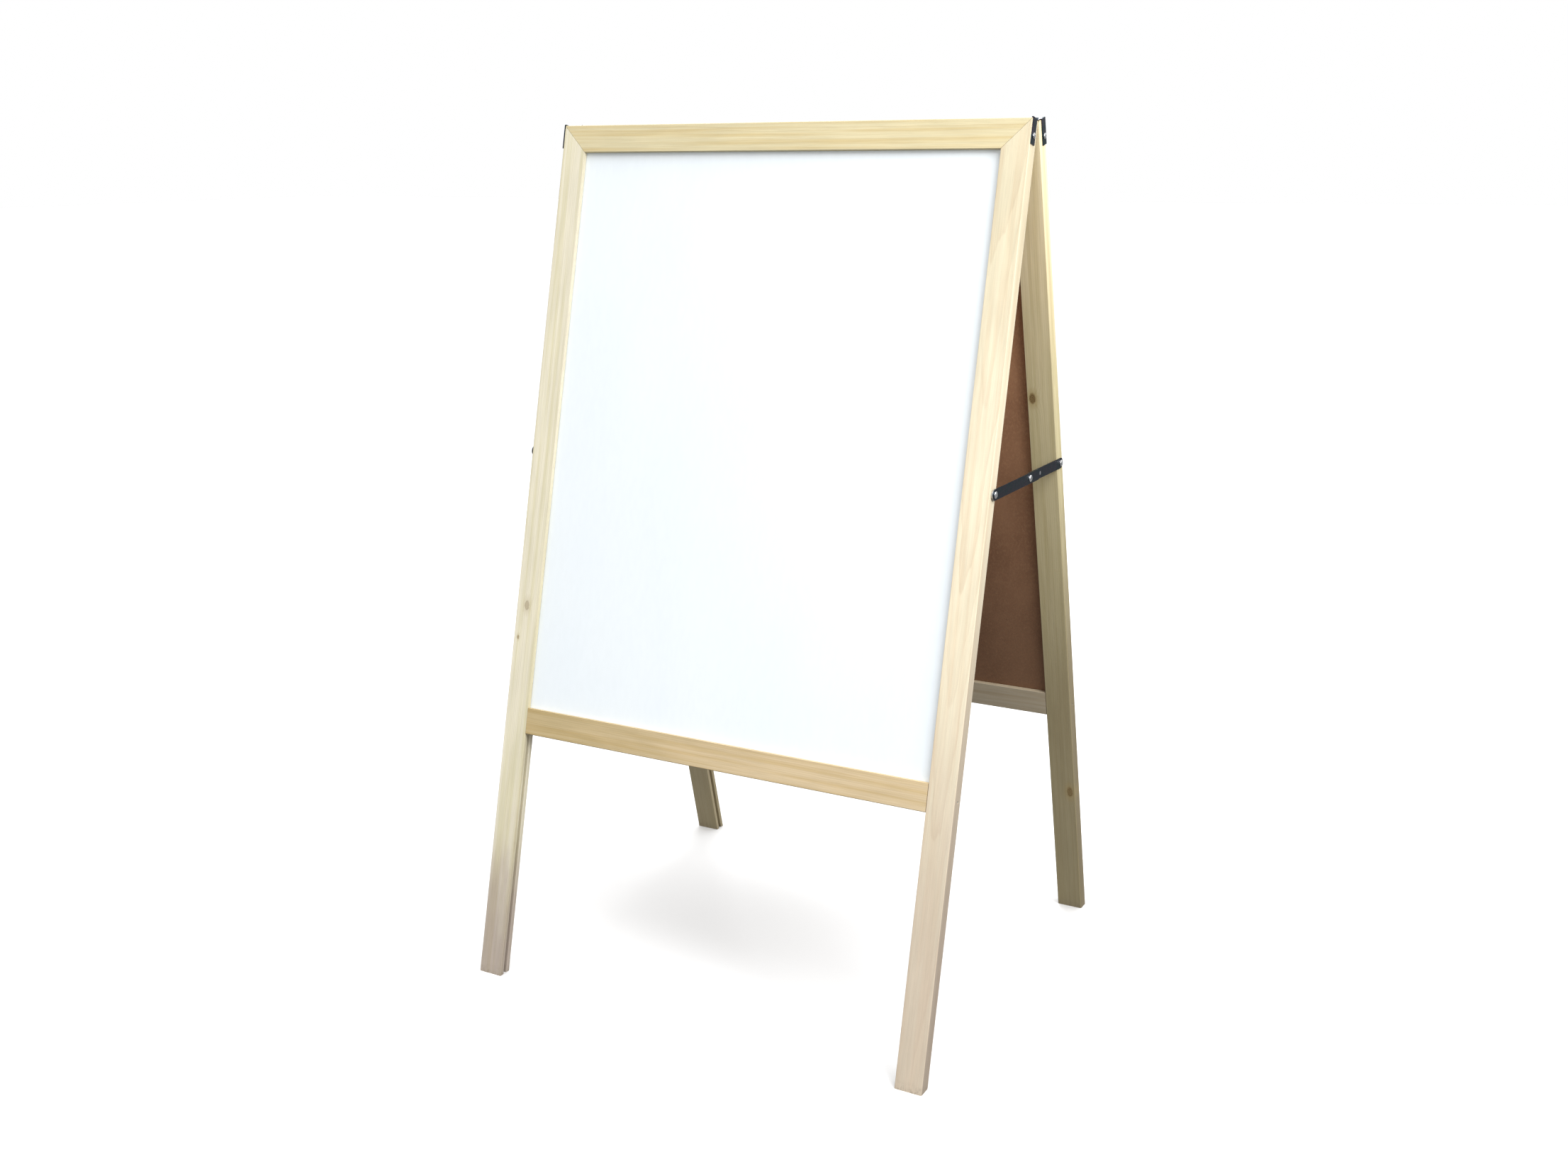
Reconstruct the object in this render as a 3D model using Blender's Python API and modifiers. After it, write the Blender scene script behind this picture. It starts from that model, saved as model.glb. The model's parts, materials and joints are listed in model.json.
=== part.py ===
"""Folding A-frame floor easel: two wooden frames hinged at the top, with a board in each.

Metres, +Z up. X runs across the boards, the front feet are towards -Y, and the feet stand on Z = 0.
Each frame is modelled hanging straight down from the hinge line, in the space of its own empty:
  across   distance along X from the middle
  depth    distance outwards from the frame's inner face
  drop     distance down from the frame's top end
The empty then leans the frame out by half of the opening angle.
"""

import bmesh
import bpy
from math import asin, cos, pi, radians, sin
from mathutils import Matrix, Vector

MM = 0.001

# Driving dimensions
STILE_LENGTH = 1067 * MM
FRAME_WIDTH = 616 * MM
MEMBER_WIDTH = 33 * MM
MEMBER_THICKNESS = 17 * MM
HALF_OPENING = radians(13.84)
LOWER_RAIL_DROP = 728 * MM
FIT_GAP = 0.3 * MM
CLOSED_GAP = 0.7 * MM

# Wooden members
EDGE_RADIUS = 1.3 * MM
LIP_RADIUS = 0.6 * MM
GROOVE_WIDTH = 5.4 * MM
GROOVE_DEPTH = 7 * MM
FOOT_ALLOWANCE = 40 * MM

# Boards
FACE_THICKNESS = 0.5 * MM
CORE_THICKNESS = GROOVE_WIDTH - 3 * FIT_GAP - FACE_THICKNESS
BOARD_EXPANSION_GAP = 1.0 * MM

# Top hinges
LEAF_THICKNESS = 0.9 * MM
LEAF_LENGTH = 22 * MM
LEAF_DEPTH = 10.5 * MM
LEAF_BEND_RADIUS = 0.2 * MM
TAB_WIDTH = 10.5 * MM
TAB_DEPTH = 11.6 * MM
TAB_DROP = 28 * MM
TAB_NOTCH = 1.0 * MM
HINGE_PIN_RADIUS = 0.8 * MM
KNUCKLE_RADIUS = 1.9 * MM
KNUCKLE_COUNT = 3
HINGE_SCREW_DROP = 18.5 * MM

# Folding stays
STAY_DROP = 405.7 * MM
LINK_WIDTH = 12.7 * MM
LINK_THICKNESS = 1.0 * MM
LINK_PLANE_GAP = 0.6 * MM
LINK_OVERLAP = 30 * MM
LINK_TIP_RADIUS = 4 * MM
RIVET_RADIUS = 2.0 * MM
RIVET_HEAD_RADIUS = 4.0 * MM
RIVET_HEAD_HEIGHT = 1.5 * MM
RIVET_TAIL_INSET = 0.1 * MM
DIMPLE_RADIUS = 2.2 * MM
DIMPLE_HEIGHT = 0.35 * MM
DIMPLE_REACH = 36 * MM
SPACER_RADIUS = 5.2 * MM

# Fasteners: screws as (head radius, head height, shank radius, length under the head),
# and a head's straight rim and crossed recess as parts of the head's own size
HINGE_SCREW = (3.3 * MM, 1.6 * MM, 1.5 * MM, 13 * MM)
STAY_SCREW = (4.0 * MM, 1.9 * MM, 1.9 * MM, 19 * MM)
PAN_RIM_PART = 0.35
RECESS_LENGTH_PART = 0.95
RECESS_WIDTH_PART = 0.27
RECESS_DEPTH_PART = 0.65
BRAD_RADIUS = 0.9 * MM
BRAD_HEAD_RADIUS = 1.4 * MM
BRAD_HEAD_HEIGHT = 0.8 * MM
RAIL_BRAD_LENGTH = 50 * MM
MITRE_BRAD_LENGTH = 38 * MM
MITRE_BRAD_INSET = 18 * MM

# How finely round shapes are divided, and how far a cutter runs past what it cuts
CORNER_STEPS = 3
DOME_STEPS = 5
END_STEPS = 10
PIN_SIDES = 16
ROUND_SIDES = 24
SMOOTH_ANGLE = radians(35)
OVERCUT = 5 * MM

# Derived places
HALF_WIDTH = FRAME_WIDTH / 2
INNER_FACE = CLOSED_GAP / 2
MID_DEPTH = MEMBER_THICKNESS / 2
GROOVE_START = (MEMBER_THICKNESS - GROOVE_WIDTH) / 2
GROOVE_END = GROOVE_START + GROOVE_WIDTH
HINGE_HEIGHT = KNUCKLE_RADIUS + FIT_GAP
PIN_Z = (HINGE_HEIGHT + STILE_LENGTH) * cos(HALF_OPENING) - INNER_FACE * sin(HALF_OPENING)
LOWER_RAIL_MIDDLE = LOWER_RAIL_DROP + MEMBER_WIDTH / 2

REAR_LINK_X = HALF_WIDTH + FIT_GAP
FRONT_LINK_X = REAR_LINK_X + LINK_THICKNESS + LINK_PLANE_GAP
RIVET_SPLIT_X = REAR_LINK_X + LINK_THICKNESS + LINK_PLANE_GAP / 2

FRONT, REAR = -1, 1
LEFT, RIGHT = -1, 1
SIDES = {"left": LEFT, "right": RIGHT}

WOOD = ("frame_wood", (0.72, 0.60, 0.40), 0.55, 0.0)
CORE = ("hardboard", (0.20, 0.105, 0.06), 0.75, 0.0)
WHITE_FACE = ("dry_erase_face", (0.86, 0.88, 0.92), 0.12, 0.0)
BLACK_FACE = ("chalkboard_face", (0.022, 0.024, 0.023), 0.80, 0.0)
DARK_STEEL = ("dark_steel", (0.075, 0.085, 0.10), 0.38, 0.9)
BRIGHT_STEEL = ("bright_steel", (0.72, 0.74, 0.76), 0.25, 1.0)


def clear_scene():
    for old in list(bpy.data.objects):
        bpy.data.objects.remove(old)


def make_collection(name, hidden=False):
    collection = bpy.data.collections.new(name)
    bpy.context.scene.collection.children.link(collection)
    collection.hide_render = hidden
    return collection


clear_scene()
PARTS = make_collection("kids_easel")
CUTTERS = make_collection("cutters", hidden=True)


def material(finish):
    """The Principled BSDF material of a finish, made once and shared."""
    name, colour, roughness, metallic = finish
    found = bpy.data.materials.get(name)
    if found:
        return found
    made = bpy.data.materials.new(name)
    made.use_nodes = True
    made.diffuse_color = (*colour, 1.0)
    shader = made.node_tree.nodes["Principled BSDF"]
    shader.inputs["Base Color"].default_value = (*colour, 1.0)
    shader.inputs["Roughness"].default_value = roughness
    shader.inputs["Metallic"].default_value = metallic
    return made


def add_object(name, mesh, parent, finish=None):
    """Links a mesh as a visible part, or as a cutter if it has no finish."""
    made = bpy.data.objects.new(name, mesh)
    made.parent = parent
    if finish:
        PARTS.objects.link(made)
        mesh.materials.append(material(finish))
    else:
        CUTTERS.objects.link(made)
        made.hide_render = True
        made.display_type = "WIRE"
    return made


def mesh_from(name, shape):
    mesh = bpy.data.meshes.new(name)
    shape.to_mesh(mesh)
    shape.free()
    return mesh


def add_box(name, low, high, parent, finish=None):
    low, high = Vector(low), Vector(high)
    shape = bmesh.new()
    size = Matrix.Diagonal((high - low).to_4d())
    size[3][3] = 1.0
    bmesh.ops.create_cube(shape, size=1.0, matrix=Matrix.Translation((low + high) / 2) @ size)
    return add_object(name, mesh_from(name, shape), parent, finish)


def add_cylinder(name, radius, start, end, parent, finish=None, sides=PIN_SIDES):
    start, end = Vector(start), Vector(end)
    along = end - start
    turn = Vector((0, 0, 1)).rotation_difference(along).to_matrix().to_4x4()
    shape = bmesh.new()
    bmesh.ops.create_cone(
        shape,
        cap_ends=True,
        segments=sides,
        radius1=radius,
        radius2=radius,
        depth=along.length,
        matrix=Matrix.Translation((start + end) / 2) @ turn,
    )
    made = add_object(name, mesh_from(name, shape), parent, finish)
    smooth(made)
    return made


def smooth(obj):
    obj.data.shade_smooth()
    obj.data.set_sharp_from_angle(angle=SMOOTH_ANGLE)


def add_outline(name, outlines, thickness, placing, parent, finish=None):
    """A flat outline, with any holes as more outlines, made `thickness` thick about its own XY plane."""
    curve = bpy.data.curves.new(name, "CURVE")
    curve.dimensions = "2D"
    curve.fill_mode = "BOTH"
    curve.extrude = thickness / 2
    for points in outlines:
        spline = curve.splines.new("POLY")
        spline.points.add(len(points) - 1)
        spline.use_cyclic_u = True
        for point, (x, y) in zip(spline.points, points):
            point.co = (x, y, 0, 1)
    drawn = bpy.data.objects.new(name + "_outline", curve)
    bpy.context.scene.collection.objects.link(drawn)
    graph = bpy.context.evaluated_depsgraph_get()
    mesh = bpy.data.meshes.new_from_object(drawn.evaluated_get(graph))
    shape = bmesh.new()
    shape.from_mesh(mesh)
    bmesh.ops.remove_doubles(shape, verts=shape.verts, dist=0.001 * MM)
    shape.to_mesh(mesh)
    shape.free()
    mesh.name = name
    bpy.data.objects.remove(drawn)
    made = add_object(name, mesh, parent, finish)
    made.matrix_local = placing
    smooth(made)
    return made


def add_turned(name, profile, placing, parent, finish=None, steps=ROUND_SIDES):
    """A profile of (radius, height) points, from top to bottom, turned about its own Z axis."""
    shape = bmesh.new()
    verts = [shape.verts.new((radius, 0, height)) for radius, height in profile]
    for upper, lower in zip(verts, verts[1:]):
        shape.edges.new((upper, lower))
    made = add_object(name, mesh_from(name, shape), parent, finish)
    made.matrix_local = placing
    screw = made.modifiers.new("turn", "SCREW")
    screw.steps = steps
    screw.render_steps = steps
    screw.use_merge_vertices = True
    screw.merge_threshold = 0.001 * MM
    return made


def combine(obj, other, operation):
    change = obj.modifiers.new(other.name, "BOOLEAN")
    change.operation = operation
    change.object = other
    change.solver = "EXACT"


def cut(obj, *cutters):
    for cutter in cutters:
        combine(obj, cutter, "DIFFERENCE")


def join(obj, *others):
    for other in others:
        combine(obj, other, "UNION")


def arc(centre, radius, start, end, steps):
    """Points on an arc from angle start to angle end."""
    turns = [start + (end - start) * k / steps for k in range(steps + 1)]
    return [(centre[0] + radius * cos(a), centre[1] + radius * sin(a)) for a in turns]


def rounded(corners):
    """The outline through square corners (x, y, radius), each rounded by its radius."""
    outline = []
    for k, (x, y, radius) in enumerate(corners):
        corner = Vector((x, y))
        if radius == 0:
            outline.append((x, y))
            continue
        back = (Vector(corners[k - 1][:2]) - corner).normalized()
        ahead = (Vector(corners[(k + 1) % len(corners)][:2]) - corner).normalized()
        centre = corner + (back + ahead) * radius
        for step in range(CORNER_STEPS + 1):
            turn = pi / 2 * step / CORNER_STEPS
            outline.append(tuple(centre - (ahead * cos(turn) + back * sin(turn)) * radius))
    return outline


def frame_point(facing, across, depth, drop):
    """A place in the space of a frame's empty."""
    return Vector((across, facing * (INNER_FACE + depth), -(HINGE_HEIGHT + drop)))


def frame_box(name, facing, across, depth, drop, parent, finish=None):
    """A box given by its (low, high) range in each of the frame's directions."""
    a = frame_point(facing, across[0], depth[0], drop[0])
    b = frame_point(facing, across[1], depth[1], drop[1])
    low = [min(pair) for pair in zip(a, b)]
    high = [max(pair) for pair in zip(a, b)]
    return add_box(name, low, high, parent, finish)


def world_point(facing, across, depth, drop):
    """The same place in world space, with the frame leaning out."""
    lean = Matrix.Rotation(facing * HALF_OPENING, 4, "X")
    return Matrix.Translation((0, 0, PIN_Z)) @ lean @ frame_point(facing, across, depth, drop)


def along_x(side, place):
    """Turns a shape's own Z axis to point away from the middle, at that place."""
    turn = Vector((0, 0, 1)).rotation_difference(Vector((side, 0, 0))).to_matrix().to_4x4()
    return Matrix.Translation(place) @ turn


# Wooden frame -----------------------------------------------------------------


def member_outline():
    """A member's section, as (distance in from its outer edge, depth), grooved along its inner edge."""
    groove_floor = MEMBER_WIDTH - GROOVE_DEPTH
    return rounded(
        [
            (0, 0, EDGE_RADIUS),
            (MEMBER_WIDTH, 0, LIP_RADIUS),
            (MEMBER_WIDTH, GROOVE_START, LIP_RADIUS),
            (groove_floor, GROOVE_START, 0),
            (groove_floor, GROOVE_END, 0),
            (MEMBER_WIDTH, GROOVE_END, LIP_RADIUS),
            (MEMBER_WIDTH, MEMBER_THICKNESS, LIP_RADIUS),
            (0, MEMBER_THICKNESS, EDGE_RADIUS),
        ]
    )


def add_member(name, facing, inwards, outer_edge, length, parent):
    """A grooved member: `inwards` points from its outer edge to its groove, `outer_edge` is mid-edge."""
    inwards, outwards = Vector(inwards), Vector((0, facing, 0))
    placing = Matrix((inwards, outwards, inwards.cross(outwards))).transposed().to_4x4()
    placing.translation = outer_edge
    return add_outline(name, [member_outline()], length, placing, parent, WOOD)


def mitre_cutter(name, facing, side, towards_rail, parent):
    """Cuts a top corner at 45 degrees, on the rail's side of the joint or on the stile's."""
    reach = 3 * MEMBER_WIDTH
    start = -FIT_GAP / 2
    cutter = add_box(name, (-reach, -reach, start), (reach, reach, start + reach), parent)
    normal = Vector((-side, 0, 1)) * (1 if towards_rail else -1)
    turn = Vector((0, 0, 1)).rotation_difference(normal).to_matrix().to_4x4()
    cutter.matrix_local = Matrix.Translation(frame_point(facing, side * HALF_WIDTH, MID_DEPTH, 0)) @ turn
    return cutter


def add_frame(prefix, facing, parent, floor_cutter):
    """The four wooden members of one frame, and the cuts where they meet."""
    rough_length = STILE_LENGTH + FOOT_ALLOWANCE
    stiles = {}
    for word, side in SIDES.items():
        middle = frame_point(facing, side * HALF_WIDTH, 0, rough_length / 2)
        stile = add_member(f"{prefix}_stile_{word}", facing, (-side, 0, 0), middle, rough_length, parent)
        cut(stile, mitre_cutter(f"{prefix}_{word}_stile_mitre", facing, side, True, parent), floor_cutter)
        stiles[word] = stile

    top_rail = add_member(
        f"{prefix}_top_rail", facing, (0, 0, -1), frame_point(facing, 0, 0, 0), FRAME_WIDTH, parent
    )
    for word, side in SIDES.items():
        cut(top_rail, mitre_cutter(f"{prefix}_{word}_rail_mitre", facing, side, False, parent))

    tongue_end = HALF_WIDTH - MEMBER_WIDTH + GROOVE_DEPTH - FIT_GAP
    shoulder = HALF_WIDTH - MEMBER_WIDTH - FIT_GAP
    rail_bottom = LOWER_RAIL_DROP + MEMBER_WIDTH
    rail_edge = frame_point(facing, 0, 0, rail_bottom)
    lower_rail = add_member(f"{prefix}_lower_rail", facing, (0, 0, 1), rail_edge, 2 * tongue_end, parent)
    cheeks = {
        "inner": (-OVERCUT, GROOVE_START + FIT_GAP),
        "outer": (GROOVE_END - FIT_GAP, MEMBER_THICKNESS + OVERCUT),
    }
    drops = (LOWER_RAIL_DROP - OVERCUT, rail_bottom + OVERCUT)
    for word, side in SIDES.items():
        across = (side * shoulder, side * (tongue_end + OVERCUT))
        for cheek, depths in cheeks.items():
            cutter = frame_box(f"{prefix}_{word}_{cheek}_cheek", facing, across, depths, drops, parent)
            cut(lower_rail, cutter)
    return stiles, top_rail, lower_rail


def add_board(prefix, facing, parent, face_name, face_finish):
    """A hardboard core with a thin writing face on its outer side, both held in the grooves."""
    half = HALF_WIDTH - MEMBER_WIDTH + GROOVE_DEPTH - BOARD_EXPANSION_GAP
    across = (-half, half)
    drops = (
        MEMBER_WIDTH - GROOVE_DEPTH + BOARD_EXPANSION_GAP,
        LOWER_RAIL_DROP + GROOVE_DEPTH - FIT_GAP,
    )
    core_start = GROOVE_START + FIT_GAP
    core_end = core_start + CORE_THICKNESS
    face_start = core_end + FIT_GAP
    face_depth = (face_start, face_start + FACE_THICKNESS)
    frame_box(f"{prefix}_board_core", facing, across, (core_start, core_end), drops, parent, CORE)
    frame_box(face_name, facing, across, face_depth, drops, parent, face_finish)


# Fasteners --------------------------------------------------------------------


def dome(radius, height):
    """The profile of a domed head, from its top on the axis to its rim."""
    ball = (radius**2 + height**2) / (2 * height)
    rim = asin(radius / ball)
    turns = [rim * k / DOME_STEPS for k in range(DOME_STEPS + 1)]
    return [(ball * sin(a), height - ball * (1 - cos(a))) for a in turns]


def pan_head(radius, height):
    """The profile of a pan head: a low dome over a short straight rim."""
    rim = height * PAN_RIM_PART
    return [(r, z + rim) for r, z in dome(radius, height - rim)] + [(radius, 0)]


def add_screw(name, size, side, seat, parent):
    """A pan-head wood screw with a crossed recess, driven along X with its head's underside at `seat`."""
    head_radius, head_height, shank_radius, length = size
    tip = 3 * shank_radius
    shank = [(shank_radius, 0), (shank_radius, tip - length), (0, -length)]
    placing = along_x(side, seat)
    screw = add_turned(name, pan_head(head_radius, head_height) + shank, placing, parent, BRIGHT_STEEL)
    reach = head_radius * RECESS_LENGTH_PART / 2
    half_width = head_radius * RECESS_WIDTH_PART / 2
    floor = head_height * (1 - RECESS_DEPTH_PART)
    for word, x, y in (("a", reach, half_width), ("b", half_width, reach)):
        slot = add_box(f"{name}_recess_{word}", (-x, -y, floor), (x, y, 2 * head_height), parent)
        slot.matrix_local = placing
        cut(screw, slot)
    return screw


def bore(name, side, seat, radius, depth, parent):
    """A cutter for a screw's hole, from just outside the seat to `depth` inside it."""
    start = Vector(seat) + Vector((side * OVERCUT, 0, 0))
    end = Vector(seat) - Vector((side * depth, 0, 0))
    return add_cylinder(name, radius, start, end, parent)


def add_brad(name, head, direction, length, parent, *drilled):
    """A headed nail driven along `direction` from the wood's surface, with its hole in each piece."""
    turn = Vector((0, 0, 1)).rotation_difference(-Vector(direction)).to_matrix().to_4x4()
    profile = [
        (0, 0),
        (BRAD_HEAD_RADIUS, 0),
        (BRAD_HEAD_RADIUS, -BRAD_HEAD_HEIGHT),
        (BRAD_RADIUS, -BRAD_HEAD_HEIGHT),
        (BRAD_RADIUS, 2 * BRAD_RADIUS - length),
        (0, -length),
    ]
    placing = Matrix.Translation(head + Vector(direction) * FIT_GAP) @ turn
    add_turned(name, profile, placing, parent, BRIGHT_STEEL, steps=END_STEPS)
    start = head - Vector(direction) * OVERCUT
    end = head + Vector(direction) * (length + 2 * FIT_GAP)
    hole = add_cylinder(f"{name}_hole", BRAD_HEAD_RADIUS + FIT_GAP, start, end, parent, sides=END_STEPS)
    for piece in drilled:
        cut(piece, hole)


def add_brads(prefix, facing, parent, stiles, top_rail, lower_rail):
    """A brad through each stile into the lower rail, and one down through each mitre."""
    for word, side in SIDES.items():
        stile = stiles[word]
        name = f"{prefix}_rail_brad_{word}"
        head = frame_point(facing, side * HALF_WIDTH, MID_DEPTH, LOWER_RAIL_MIDDLE)
        add_brad(name, head, (-side, 0, 0), RAIL_BRAD_LENGTH, parent, stile, lower_rail)
        name = f"{prefix}_mitre_brad_{word}"
        head = frame_point(facing, side * (HALF_WIDTH - MITRE_BRAD_INSET), MID_DEPTH, 0)
        add_brad(name, head, (0, 0, -1), MITRE_BRAD_LENGTH, parent, stile, top_rail)


# Top hinges -------------------------------------------------------------------


def leaf_outline(side):
    """A leaf's section across the easel: a plate on the frame's top end and a tab down its side edge."""
    plate_low = -KNUCKLE_RADIUS
    plate_high = plate_low + LEAF_THICKNESS
    tab_in = HALF_WIDTH + FIT_GAP
    tab_out = tab_in + LEAF_THICKNESS
    plate_end = HALF_WIDTH - LEAF_LENGTH
    tab_low = -(HINGE_HEIGHT + TAB_DROP)
    corners = [
        (plate_end, plate_low, 0),
        (tab_in, plate_low, LEAF_BEND_RADIUS),
        (tab_in, tab_low, 0),
        (tab_out, tab_low, 0),
        (tab_out, plate_high, LEAF_BEND_RADIUS + LEAF_THICKNESS / 2),
        (plate_end, plate_high, 0),
    ]
    return [(side * x, z) for x, z in rounded(corners)][::side]


def knuckle_range(index):
    """Where one knuckle starts and ends, as distances from the middle of the easel."""
    start = HALF_WIDTH - LEAF_LENGTH
    pitch = (LEAF_LENGTH - FIT_GAP) / KNUCKLE_COUNT
    return start + index * pitch, start + (index + 1) * pitch - FIT_GAP


def add_barrel(name, radius, side, start, end, parent):
    """A cylinder about the hinge line, between two distances from the middle of the easel."""
    return add_cylinder(name, radius, (side * start, 0, 0), (side * end, 0, 0), parent, sides=ROUND_SIDES)


def add_leaf(name, facing, side, own_knuckles, parent, stile):
    """One leaf of a top hinge, with its knuckles about the hinge line."""
    plate_depth = INNER_FACE + TAB_DEPTH + TAB_WIDTH / 2
    placing = Matrix(((1, 0, 0), (0, 0, -1), (0, 1, 0))).to_4x4()
    placing.translation = (0, facing * plate_depth / 2, 0)
    leaf = add_outline(name, [leaf_outline(side)], plate_depth, placing, parent, DARK_STEEL)

    trim_across = (side * (HALF_WIDTH - TAB_NOTCH), side * (HALF_WIDTH + OVERCUT))
    trim_depth = (-OVERCUT, TAB_DEPTH - TAB_WIDTH / 2)
    trim_drop = (-OVERCUT, TAB_DROP + OVERCUT)
    cut(leaf, frame_box(f"{name}_tab_trim", facing, trim_across, trim_depth, trim_drop, parent))
    trim_across = (0, side * (HALF_WIDTH - TAB_NOTCH))
    trim_depth = (LEAF_DEPTH, MEMBER_THICKNESS + OVERCUT)
    cut(leaf, frame_box(f"{name}_plate_trim", facing, trim_across, trim_depth, (-OVERCUT, OVERCUT), parent))
    for index in range(KNUCKLE_COUNT):
        start, end = knuckle_range(index)
        if index in own_knuckles:
            join(leaf, add_barrel(f"{name}_knuckle_{index}", KNUCKLE_RADIUS, side, start, end, parent))
        else:
            room = (start - FIT_GAP, end + FIT_GAP)
            cut(leaf, add_barrel(f"{name}_room_{index}", KNUCKLE_RADIUS + FIT_GAP, side, *room, parent))
    whole = (HALF_WIDTH - LEAF_LENGTH - OVERCUT, HALF_WIDTH + OVERCUT)
    cut(leaf, add_barrel(f"{name}_pin_hole", HINGE_PIN_RADIUS + FIT_GAP, side, *whole, parent))

    seat_x = HALF_WIDTH + LEAF_THICKNESS + 2 * FIT_GAP
    seat = frame_point(facing, side * seat_x, TAB_DEPTH, HINGE_SCREW_DROP)
    add_screw(name.replace("leaf", "screw"), HINGE_SCREW, side, seat, parent)
    shank_radius, length = HINGE_SCREW[2:]
    hole = bore(f"{name}_screw_hole", side, seat, shank_radius + FIT_GAP, length + FIT_GAP, parent)
    cut(leaf, hole)
    cut(stile, hole)


def add_hinge_pin(name, side, parent):
    start, end = side * (HALF_WIDTH - LEAF_LENGTH), side * (HALF_WIDTH - FIT_GAP)
    add_cylinder(name, HINGE_PIN_RADIUS, (start, 0, 0), (end, 0, 0), parent, BRIGHT_STEEL)


# Folding stays ----------------------------------------------------------------


def link_length():
    """From a link's pivot to the centre rivet, which lies midway between the frames."""
    return abs(world_point(REAR, 0, MID_DEPTH, STAY_DROP).y)


def link_outline(length, overlap):
    """A link's outline about its pivot, with a round end there and a blunt or round one past the rivet."""
    half = LINK_WIDTH / 2
    outline = arc((0, 0), half, pi / 2, 3 * pi / 2, END_STEPS)
    if overlap:
        tip = length + overlap
        middle = tip - LINK_TIP_RADIUS
        rise = half - LINK_TIP_RADIUS
        outline += arc((middle, -rise), LINK_TIP_RADIUS, -pi / 2, 0, CORNER_STEPS)
        outline += arc((middle, rise), LINK_TIP_RADIUS, 0, pi / 2, CORNER_STEPS)
    else:
        outline += arc((length, 0), half, -pi / 2, pi / 2, END_STEPS)
    return outline


def circle(centre, radius):
    return arc(centre, radius, 0, 2 * pi, PIN_SIDES)[:-1]


def add_link(name, side, inner_x, pivot, direction, overlap):
    """A flat link at rest: its origin on its pivot, reaching along Y in `direction` to the rivet."""
    origin = bpy.data.objects.new(f"{name}_pivot", None)
    PARTS.objects.link(origin)
    origin.location = (0, pivot.y, pivot.z)
    length = link_length()
    outlines = [
        link_outline(length, overlap),
        circle((0, 0), STAY_SCREW[2] + FIT_GAP),
        circle((length, 0), RIVET_RADIUS + FIT_GAP),
    ]
    reach = Vector((0, direction, 0))
    rise = Vector((0, 0, 1))
    placing = Matrix((reach, rise, reach.cross(rise))).transposed().to_4x4()
    placing.translation = (side * (inner_x + LINK_THICKNESS / 2), 0, 0)
    link = add_outline(name, outlines, LINK_THICKNESS, placing, origin, DARK_STEEL)
    return link, origin


def add_stay(word, side, front_empty, rear_empty, stiles):
    """The stay on one side: the front link lies outside the rear link, and a rivet joins them."""
    front_pivot = world_point(FRONT, 0, MID_DEPTH, STAY_DROP)
    rear_pivot = world_point(REAR, 0, MID_DEPTH, STAY_DROP)
    _, front_origin = add_link(f"{word}_stay_front_link", side, FRONT_LINK_X, front_pivot, 1, LINK_OVERLAP)
    rear_link, rear_origin = add_link(f"{word}_stay_rear_link", side, REAR_LINK_X, rear_pivot, -1, 0)

    bump = dome(DIMPLE_RADIUS, DIMPLE_HEIGHT)
    bump += [(DIMPLE_RADIUS, -LINK_THICKNESS / 2), (0, -LINK_THICKNESS / 2)]
    bump_place = along_x(side, (side * (REAR_LINK_X + LINK_THICKNESS), DIMPLE_REACH - link_length(), 0))
    join(rear_link, add_turned(f"{word}_stay_dimple", bump, bump_place, rear_origin, steps=PIN_SIDES))

    head_seat = FRONT_LINK_X + LINK_THICKNESS + FIT_GAP
    shank_end = RIVET_SPLIT_X + FIT_GAP / 2 - head_seat
    head = dome(RIVET_HEAD_RADIUS, RIVET_HEAD_HEIGHT)
    head += [(RIVET_RADIUS, 0), (RIVET_RADIUS, shank_end), (0, shank_end)]
    head_place = along_x(side, (side * head_seat, link_length(), 0))
    add_turned(f"{word}_stay_rivet_head", head, head_place, front_origin, BRIGHT_STEEL)
    tail_start = (side * (REAR_LINK_X + RIVET_TAIL_INSET), -link_length(), 0)
    tail_end = (side * (RIVET_SPLIT_X - FIT_GAP / 2), -link_length(), 0)
    add_cylinder(f"{word}_stay_rivet_tail", RIVET_RADIUS, tail_start, tail_end, rear_origin, BRIGHT_STEEL)

    shank_radius, length = STAY_SCREW[2:]
    for end, facing, link_x, empty in (
        ("front", FRONT, FRONT_LINK_X, front_empty),
        ("rear", REAR, REAR_LINK_X, rear_empty),
    ):
        name = f"{word}_stay_{end}_screw"
        seat = frame_point(facing, side * (link_x + LINK_THICKNESS + FIT_GAP), MID_DEPTH, STAY_DROP)
        add_screw(name, STAY_SCREW, side, seat, empty)
        hole = bore(f"{name}_hole", side, seat, shank_radius + FIT_GAP, length + FIT_GAP, empty)
        cut(stiles[end][word], hole)

    name = f"{word}_stay_spacer"
    spacer_start = frame_point(FRONT, side * (HALF_WIDTH + FIT_GAP), MID_DEPTH, STAY_DROP)
    spacer_end = frame_point(FRONT, side * (FRONT_LINK_X - FIT_GAP), MID_DEPTH, STAY_DROP)
    spacer = add_cylinder(
        name, SPACER_RADIUS, spacer_start, spacer_end, front_empty, BRIGHT_STEEL, sides=ROUND_SIDES
    )
    cut(spacer, bore(f"{name}_hole", side, spacer_end, shank_radius + FIT_GAP, OVERCUT, front_empty))


# Assembly ---------------------------------------------------------------------


def add_hinge_empty(name, facing):
    """The hinge line's empty, which leans a frame out by half of the opening angle."""
    empty = bpy.data.objects.new(name, None)
    PARTS.objects.link(empty)
    empty.location = (0, 0, PIN_Z)
    empty.rotation_euler = (facing * HALF_OPENING, 0, 0)
    return empty


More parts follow.
